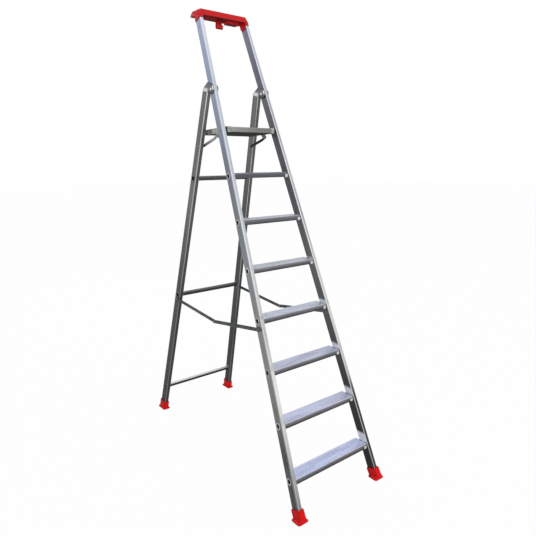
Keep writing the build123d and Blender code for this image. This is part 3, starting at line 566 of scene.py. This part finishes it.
def tread_finish():
    """Bluish top with painted shade on the highest tread, painted shade on the nosing and
    underside, a light band at each end, a painted highlight low on the right ends and painted shade
    in the hollow tenon.
    """
    finish = Finish("ribbed tread", 0.8, 0.34)
    lines = finish.noise((1.4, 240, 240), 4.0)
    broad = finish.noise((5, 34, 34), 2.0)
    above, behind = step_offsets(finish)
    # Painted shade: the highest tread, under the deck, is darker on top.
    top = finish.ramp(finish.z, 0.1, 1.62, [
        tone(210, 218, 244), tone(214, 218, 238), tone(208, 212, 230), tone(210, 214, 226),
        tone(206, 210, 220), tone(206, 211, 221), tone(165, 169, 177),
    ])
    # Painted shade on the nosing: darker towards its lower edge, and darker on the upper treads.
    nosing_painted_shade = finish.ramp(above, -0.026, -0.001, [
        tone(70, 70, 74), tone(122, 123, 127), tone(168, 168, 176),
    ])
    nosing_painted_shade = finish.mix(finish.z.ease(1.2, 1.5) * 0.75, nosing_painted_shade, tone(88, 92, 98))
    grooved = above.ease(-2.2 * MM, -1.4 * MM) * behind.ease(4 * MM, 5 * MM)
    colour = finish.mix(finish.nz.ease(0.55, 0.9).high(grooved), nosing_painted_shade, top)
    # Painted shade on the underside.
    colour = finish.mix((-finish.nz).ease(0.5, 0.8), colour, tone(58, 58, 60))
    stretch = abs(finish.x) + FRONT_TAPER / math.cos(FRONT_LEAN) * finish.z
    inside = FRONT_HALF - STILE[1]
    joint = (stretch - (inside - 3 * MM)).ease(0, 0.001)
    colour = finish.mix(joint, colour, tone(214, 214, 216))
    # Painted highlight on the lower front of the right ends, less metallic there.
    painted_end_highlight = (stretch - (inside - 24 * MM)).ease(0, 0.006) * (finish.x > 0.0)
    painted_end_highlight = painted_end_highlight * (1 - above.ease(-13 * MM, -8 * MM)) * (1 - finish.ny.ease(-0.4, 0.2))
    colour = finish.mix(painted_end_highlight, colour, tone(252, 252, 252))
    finish.link("Metallic", 0.8 - painted_end_highlight * 0.7)
    # Painted shade inside the hollow tenon.
    turn_cos, turn_sin = math.cos(FRONT_LEAN), math.sin(FRONT_LEAN)
    back, rise = behind - TENON_BACK, above + TENON_DROP
    across = back * turn_cos - rise * turn_sin
    up = back * turn_sin + rise * turn_cos
    painted_bore_shade = (abs(across) < TENON_HOLLOW[0]) * (abs(up) < TENON_HOLLOW[1])
    colour = shaded(finish, colour, 0.05, lines)
    colour = shaded(finish, colour, 0.13, broad)
    colour = finish.mix(painted_bore_shade, colour, tone(22, 22, 24))
    rough = 0.36 + broad * 0.14 + painted_bore_shade * 0.4
    return finish.paint(colour, rough, lines, 0.00003)


def bar_finish():
    """Painted highlight above, painted shade below, and darker painted shade inside."""
    finish = Finish("drawn tube", 0.85, 0.25)
    lines = finish.noise((1.2, 300, 300), 4.0)
    # Painted light and shade: faces that look up take a light run of greys, the rest a dark one.
    painted_top_highlight = finish.nz.ease(0.25, 0.85)
    dark = finish.ramp(finish.z, 0.1, 1.6, greys(50, 60, 86))
    light = finish.ramp(finish.z, 0.1, 1.6, greys(236, 120, 150))
    colour = finish.mix(painted_top_highlight, dark, light)
    colour = shaded(finish, colour, 0.08, lines)
    # Painted shade inside the hollow tube.
    painted_bore_shade = radial(finish) < BAR_HOLLOW
    colour = finish.mix(painted_bore_shade, colour, tone(20, 20, 22))
    return finish.paint(colour, 0.28 + painted_bore_shade * 0.5, lines, 0.00004)


def bar_along(height):
    """Distance up the leg to a crossbar at some height."""
    return (height + LEG[0] / 2 * math.sin(REAR_LEAN)) / math.cos(REAR_LEAN)


def radial(finish):
    """Distance from the nearest crossbar's axis, fore and aft and upward."""
    nearest = None
    for height in BAR_HEIGHTS:
        centre = rear_point(0, bar_along(height), LEG[0] / 2)
        away_y = finish.y - float(centre[1])
        away_z = finish.z - float(centre[2])
        away = (away_y * away_y + away_z * away_z).root()
        nearest = away if nearest is None else nearest.low(away)
    return nearest


def deck_finish():
    """Grey plank, its front painted lighter to the left, with painted shade on its dark underside.
    """
    finish = Finish("deck plank", 0.75, 0.38)
    lines = finish.noise((1.4, 220, 220), 4.0)
    broad = finish.noise((8, 18, 18), 2.0)
    top = tone(168, 168, 172)
    # Painted light: the front face is lighter to the left.
    front = finish.ramp(finish.x, -0.15, 0.15, greys(158, 128, 122, tint=(1, 1, -2)))
    # Painted shade on the underside, which is made non-metallic there.
    painted_underside_shade = (-finish.nz).ease(0.4, 0.8)
    colour = finish.mix(finish.nz.ease(0.4, 0.9), front, top)
    colour = shaded(finish, colour, 0.09, lines)
    colour = shaded(finish, colour, 0.10, broad)
    colour = finish.mix(painted_underside_shade, colour, tone(17, 17, 16))
    finish.link("Metallic", 0.75 - painted_underside_shade * 0.75)
    return finish.paint(colour, 0.36 + broad * 0.1 + painted_underside_shade * 0.5, lines, 0.00004)


def cast_finish():
    """Tumbled casting with painted light and shade: dark lilac grey ears that darken low down,
    darker edges, a painted highlight on the cap and heel and on the front rim, and painted shade
    underneath.
    """
    finish = Finish("tumbled casting", 0.85, 0.26)
    grain = finish.noise((520, 520, 520), 3.0)
    broad = finish.noise((60, 60, 60), 2.0)
    hinge = front_point(0, HINGE_ALONG, HINGE_DEPTH)
    back = (finish.y - float(hinge[1])) * float(leg_back[1])
    back = back + (finish.z - float(hinge[2])) * float(leg_back[2])
    rise = (finish.z - float(hinge[2])) * float(leg_up[2])
    rise = rise + (finish.y - float(hinge[1])) * float(leg_up[1])
    # Painted shade: the ears darken low down.
    face = finish.ramp(rise, -0.026, 0.026, [
        tone(54, 58, 60), tone(84, 88, 90), tone(116, 116, 120), tone(112, 111, 121),
        tone(102, 100, 111),
    ])
    # Painted highlight on the heel, behind and below the pivot.
    painted_heel_highlight = back.ease(0.022, 0.046) * (1 - rise.ease(-0.006, 0.004))
    face = finish.mix(painted_heel_highlight, face, tone(214, 214, 212))
    # Painted highlight: a crescent on the front upper rim round the pivot.
    reach = (back * back + rise * rise).root()
    painted_rim_highlight = reach.ease(0.012, 0.017) * (1 - back.ease(-0.012, -0.004)) * rise.ease(-0.002, 0.004)
    face = finish.mix(painted_rim_highlight, face, tone(234, 240, 244))
    # Painted light and shade on the edges: lighter low down, darker above.
    painted_edge_shading = finish.ramp(rise, -0.026, 0.026, greys(196, 150, 92, 70, 76))
    colour = finish.mix(abs(finish.nx).ease(0.6, 0.95), painted_edge_shading, face)
    colour = shaded(finish, colour, 0.16, broad)
    colour = shaded(finish, colour, 0.07, grain)
    # Painted shade underneath.
    colour = finish.mix((-finish.nz).ease(0.5, 0.9), colour, tone(44, 44, 44))
    return finish.paint(colour, 0.24 + grain * 0.14, grain, 0.00010)


def rail_finish():
    """Mottled casting with painted shade on its dark underside."""
    finish = Finish("rail casting", 0.8, 0.34)
    grain = finish.noise((520, 520, 520), 3.0)
    broad = finish.noise((30, 30, 30), 3.0)
    colour = finish.mix(broad.ease(0.35, 0.7), tone(140, 142, 140), tone(188, 189, 184))
    # Painted shade on the underside, which is made non-metallic there.
    painted_underside_shade = (-finish.nz).ease(0.3, 0.8)
    colour = finish.mix(painted_underside_shade, colour, tone(34, 33, 32))
    finish.link("Metallic", 0.8 - painted_underside_shade * 0.8)
    return finish.paint(colour, 0.30 + grain * 0.12 + painted_underside_shade * 0.5, grain, 0.00012)


def stay_finish():
    """Galvanised strip: spangled outside, its inner side in shade."""
    finish = Finish("galvanised stay", 0.8, 0.34)
    grain = finish.noise((420, 420, 420), 3.0)
    spangle = finish.noise((70, 46, 46), 3.0)
    outward = finish.nx * outside(finish)
    light = finish.mix(spangle.ease(0.35, 0.7), tone(134, 144, 146), tone(176, 184, 184))
    shade = (-outward).ease(0.3, 0.8)
    colour = finish.mix(shade, light, tone(54, 56, 57))
    colour = shaded(finish, colour, 0.06, grain)
    return finish.paint(colour, 0.34 + spangle * 0.12 + shade * 0.3, grain, 0.00004)


def steel_finish(name, plain, worn, roughness):
    """Steel or bright metal that wears from one colour to another in patches."""
    finish = Finish(name, 0.8, roughness)
    grain = finish.noise((420, 420, 420), 3.0)
    broad = finish.noise((24, 14, 14), 3.0)
    colour = finish.mix(broad.ease(0.35, 0.7), plain, worn)
    colour = shaded(finish, colour, 0.08, grain)
    return finish.paint(colour, roughness + broad * 0.14, grain, 0.00004)


def plastic_finish(name, plain, deep, roughness):
    """Moulded plastic: fine grain, a little unevenness, and a deeper colour underneath as painted
    shade.
    """
    finish = Finish(name, 0.0, roughness, Specular_IOR_Level=0.22)
    grain = finish.noise((900, 900, 900), 2.0)
    broad = finish.noise((34, 34, 34), 3.0)
    # Painted shade: faces that look down take the deeper colour.
    painted_underside_shade = (-finish.nz).ease(0.35, 0.85)
    colour = finish.mix(painted_underside_shade, plain, deep)
    colour = shaded(finish, colour, 0.07, broad)
    return finish.paint(colour, roughness + broad * 0.12 + painted_underside_shade * 0.35, grain, 0.00008)


def boot_finish():
    """Softer moulded plastic: deeper red on the sides and round the sole's rim as painted shade,
    and a lighter red on faces that look up as a painted highlight.
    """
    finish = Finish("red boot", 0.0, 0.4, Specular_IOR_Level=0.2)
    grain = finish.noise((900, 900, 900), 2.0)
    broad = finish.noise((30, 30, 30), 3.0)
    # Painted light and shade: the front brighter than the sides, and faces that look up lighter.
    side = abs(finish.nx).ease(0.55, 0.9)
    colour = finish.mix(side, tone(255, 6, 4), tone(216, 4, 8))
    colour = finish.mix(finish.nz.ease(0.55, 0.9), colour, tone(236, 40, 44))
    # Painted shade round the sole's rim, near the floor.
    painted_rim_shade = 1 - finish.z.ease(0.003, 0.007)
    colour = finish.mix(painted_rim_shade * 0.8, colour, tone(132, 6, 18))
    colour = shaded(finish, colour, 0.06, broad)
    return finish.paint(colour, 0.38 + broad * 0.12, grain, 0.00008)


finishes = {
    "stile": stile_finish(),
    "leg": leg_finish(),
    "tread": tread_finish(),
    "bar": bar_finish(),
    "deck": deck_finish(),
    "cast": cast_finish(),
    "bright": steel_finish("swaged rim", tone(150, 151, 154), tone(206, 206, 206), 0.24),
    "zinc": steel_finish("zinc rivet", tone(112, 113, 114), tone(164, 165, 164), 0.26),
    "rail": rail_finish(),
    "stay": stay_finish(),
    "strap": steel_finish("dull strap", tone(74, 81, 85), tone(104, 110, 113), 0.4),
    # The tray's second colour is the painted shade underneath.
    "tray": plastic_finish("red tray", tone(228, 18, 24), tone(104, 2, 4), 0.42),
    "boot": boot_finish(),
    "bolt": steel_finish("bright bolt", tone(226, 226, 226), tone(246, 246, 246), 0.2),
}


# The finish of each node, by how its name starts. Every other node is zinc.
FINISH_STARTS = {
    "stile": "stile", "rear_leg": "leg", "tread": "tread", "crossbar": "bar",
    "platform_deck": "deck", "platform_rail": "rail", "hinge_knuckle": "cast",
    "stay_left": "stay", "stay_right": "stay", "spreader_front": "strap",
    "spreader_rear": "strap", "top_tray": "tray", "foot": "boot",
}


def finish_of(node):
    for start, finish in FINISH_STARTS.items():
        if node.startswith(start):
            return finish
    return "zinc"


for name, obj in nodes.items():
    obj.data.materials.clear()
    obj.data.materials.append(finishes[finish_of(name)])


# ---- swaged rims where treads and crossbars come through ----
# Half sizes, corner radius, half width and height of each rolled rim.
TREAD_RIM = ((11.6 * MM, 13.6 * MM), 9.2 * MM, 4.1 * MM, 2.9 * MM)
TREAD_BEAD = ((12.6 * MM, 14.6 * MM), 10.2 * MM, 3.4 * MM, 2.6 * MM)
BAR_RIM = ((14.2 * MM, 14.2 * MM), 14.1 * MM, 2.0 * MM, 2.4 * MM)
BAR_BEAD = ((15.0 * MM, 15.0 * MM), 14.9 * MM, 1.6 * MM, 2.6 * MM)


def tread_places():
    """Along and depth of each tread's tenon in the climbing frame."""
    for number in range(TREADS):
        y = first_nosing + number * tread_step + TENON_BACK
        z = FIRST_TREAD + number * RISER - TENON_DROP
        spot = np.array((0, y - front_line, z))
        yield float(spot @ front_up), float(spot @ front_back)


rims, beads = [], []
for along, depth in tread_places():
    for side in SIDES.values():
        outer = stile_seat(side, along, depth)
        rims.append(lip(outer, *TREAD_RIM))
        inner = stile_seat(side, along, depth, STILE[1], inward=True)
        beads.append(lip(inner, *TREAD_BEAD))
piece("swaged_rims", rims, "front_frame", finishes["bright"])
piece("swaged_beads", beads, "front_frame", finishes["bright"])

rims, beads = [], []
for height in BAR_HEIGHTS:
    along = bar_along(height)
    for side in SIDES.values():
        outer = leg_seat(side, along, LEG[0] / 2)
        rims.append(lip(outer, *BAR_RIM))
        inner = leg_seat(side, along, LEG[0] / 2, LEG[1], inward=True)
        beads.append(lip(inner, *BAR_BEAD))
piece("crossbar_rims", rims, "rear_frame", finishes["zinc"])
piece("crossbar_beads", beads, "rear_frame", finishes["bright"])


# ---- rounded copies of the castings, the tray and the fasteners ----
CAST_EDGE, TRAY_EDGE, BOLT_EDGE, RIVET_EDGE = 1.3 * MM, 1.2 * MM, 1.0 * MM, 0.8 * MM


def raised_shoulder(points):
    """Points above and behind the pivot move up along the stile, by 0.3 of their height."""
    away = points - front_point(0, HINGE_ALONG, HINGE_DEPTH)
    away[:, 0] = 0
    behind = np.clip((away @ leg_back - 5 * MM) / (25 * MM), 0, 1)
    lift = 0.3 * np.maximum(away @ leg_up, 0) * behind ** 2 * (3 - 2 * behind)
    return points + lift[:, None] * front_up


for node in ("hinge_knuckle_left", "hinge_knuckle_right"):
    softened(node, CAST_EDGE, finishes["cast"], shape=raised_shoulder)
softened("top_tray", TRAY_EDGE, finishes["tray"])
for node in ("hinge_bolts", "hinge_nuts"):
    softened(node, BOLT_EDGE, finishes["bolt"])
for node in nodes:
    if "rivet" in node or node.endswith("_pins"):
        softened(node, RIVET_EDGE, finishes["zinc"])


# ---- moulded boots ----
# Of each boot: the sole's width and depth, how far the sole sits back, the sleeve's wall
# sideways and fore and aft, and how far the sleeve sits forward.
BOOTS = {
    "front": {"sole": (0.067, 0.060), "back": 0.005, "wall": (0.0084, 0.0052), "lead": 0.0026},
    "rear": {"sole": (0.050, 0.086), "back": 0.0, "wall": (0.0066, 0.0046), "lead": 0.0},
}
BOOT_TOP = 0.063
BOOT_POINTS = 72  # round each outline
SIDE_STEPS = 28  # rows from the sole to the sleeve


def ring(half):
    """Offsets (x, y) round a rounded rectangle: a superellipse of power six."""
    angle = np.linspace(0, 2 * np.pi, BOOT_POINTS, endpoint=False)
    turn = np.column_stack((np.cos(angle), np.sin(angle)))
    return np.sign(turn) * np.abs(turn) ** (1 / 3) * np.asarray(half)


def boot(sole_centre, sole_half, foot, axes, sleeve):
    """Rows of a boot, from the middle of its sole up to its collar.

    The sole is a thin flange with a rounded rim. Above it the outline runs from the sole's to
    the sleeve's as 1 - (1 - t)^9 while its middle climbs evenly, so a small fillet ends in
    nearly straight walls. The collar turns in to the member and closes inside it.
    """
    across, deep, up = axes
    rows = [np.repeat([(*sole_centre, 0.0)], BOOT_POINTS, axis=0)]
    for height, inset in ((0, 4.0), (0.6, 2.6), (2.0, 1.0), (3.4, 0.2), (4.6, 0), (5.6, 0.4)):
        outline = ring(np.array(sole_half) - inset * MM)
        level = np.full(BOOT_POINTS, height * MM)
        rows.append(np.column_stack((outline + sole_centre, level)))
    low = np.array((*sole_centre, 6.2 * MM))
    low_ring = ring(np.array(sole_half) - 1.3 * MM) @ np.eye(3)[:2]
    high = foot + up * (BOOT_TOP - 10 * MM)
    high_ring = ring(sleeve) @ np.array((across, deep))
    for t in np.linspace(0, 1, SIDE_STEPS) ** 1.8:
        w = 1 - (1 - t) ** 9
        rows.append(low + (high - low) * t + low_ring + (high_ring - low_ring) * w)
    for drop, inset in ((6, 0.1), (1.0, 0.2), (0.3, 0.6), (0, 1.3), (0, 4.4), (0.6, 4.9)):
        middle = foot + up * (BOOT_TOP - drop * MM)
        rows.append(middle + ring(sleeve - inset * MM) @ np.array((across, deep)))
    rows.append(np.repeat([foot + up * (BOOT_TOP - 1.0 * MM)], BOOT_POINTS, axis=0))
    return np.array(rows)


for word, side in SIDES.items():
    for end, sizes in BOOTS.items():
        node = f"foot_{end}_{word}"
        low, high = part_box(node)
        half = np.array(sizes["sole"]) / 2
        if end == "front":
            member, deep, seat_of, body = STILE, front_back, stile_seat, "front_frame"
            middle_y = low[1] + half[1] + sizes["back"]
        else:
            member, deep, seat_of, body = LEG, leg_back, leg_seat, "rear_frame"
            middle_y = high[1] - half[1] + sizes["back"]
        seat = seat_of(side, 0.0, member[0] / 2, member[1] / 2)
        up = np.cross(seat.off, deep)
        up *= np.sign(up[2])
        axes = (seat.off * side, deep, up)
        middle = ((low[0] + high[0]) / 2, middle_y)
        sleeve = np.array((member[1], member[0])) / 2 + sizes["wall"]
        rows = boot(middle, half, seat.origin - deep * sizes["lead"], axes, sleeve)
        made = piece(f"boot_{end}_{word}", [rows], body, finishes["boot"], 40)
        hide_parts(node)


# ---- camera, light and ground ----
camera_data = bpy.data.cameras.new("camera")
camera_data.sensor_width = 36.0
camera_data.lens = 34.21
camera_data.shift_x = 0.0049
camera_data.shift_y = -0.0487
camera = bpy.data.objects.new("camera", camera_data)
camera.location = (-1.7399, -2.3135, 1.7078)
camera.rotation_euler = (math.radians(80.482), 0.0, math.radians(-38.096))
scene.collection.objects.link(camera)
scene.camera = camera

# The surroundings light the object softly and show white.
AROUND = 0.55
world = bpy.data.worlds.new("studio")
scene.world = world
world.use_nodes = True
studio = Wiring(world.node_tree)
seen, glossy, through = (
    studio.node("ShaderNodeLightPath", output=f"Is {kind} Ray")
    for kind in ("Camera", "Glossy", "Transmission")
)
shown = seen.high(glossy).high(through)
level = studio.node("ShaderNodeMapRange", None, {"Value": shown, "To Min": AROUND, "To Max": 1.0})
studio.join(level, "Background", "Strength")
studio.tree.nodes["Background"].inputs["Color"].default_value = (1, 1, 1, 1)


def lamp(name, place, target, size, power):
    """Round area light, turned so that its face looks at the target."""
    data = bpy.data.lights.new(name, "AREA")
    data.shape = "DISK"
    data.size = size
    data.energy = power
    obj = bpy.data.objects.new(name, data)
    obj.location = place
    aim = unit(np.array(place) - np.array(target))
    obj.rotation_euler = (math.acos(aim[2]), 0.0, math.atan2(aim[0], -aim[1]))
    scene.collection.objects.link(obj)


centre = (0.0, 0.0, 1.2)
lamp("key", (1.6, -4.6, 4.4), centre, 2.4, 46)
lamp("fill", (-4.2, -1.4, 2.6), centre, 2.8, 10)
lamp("back", (0.6, 4.2, 3.4), centre, 2.8, 16)

FLOOR_REACH = 30.0
FLOOR_GLOW = 0.975  # share of plain white that the camera sees; the rest shows the shadow
floor_mesh = bpy.data.meshes.new("floor")
corners = [(-1, -1, 0), (1, -1, 0), (1, 1, 0), (-1, 1, 0)]
floor_mesh.from_pydata((np.array(corners) * FLOOR_REACH).tolist(), [], [(0, 1, 2, 3)])
floor = bpy.data.objects.new("floor", floor_mesh)
scene.collection.objects.link(floor)
ground = Finish("pale floor", 0.0, 0.9, Base_Color=(0.9, 0.9, 0.9, 1))
lit = Term(ground, ground.shader.outputs[0])
glow = ground.node("ShaderNodeEmission", None, {"Strength": 1.0})
share = ground.node("ShaderNodeLightPath", output="Is Camera Ray") * FLOOR_GLOW
blend = ground.node("ShaderNodeMixShader", None, {0: share, 1: lit, 2: glow})
ground.join(blend, "Material Output", "Surface")
floor_mesh.materials.append(ground.material)
floor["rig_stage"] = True

scene.view_settings.view_transform = "Standard"

final_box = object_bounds()
sizes = {
    "cad": [list(map(float, corner)) for corner in cad_box],
    "visual": [list(map(float, corner)) for corner in final_box],
}
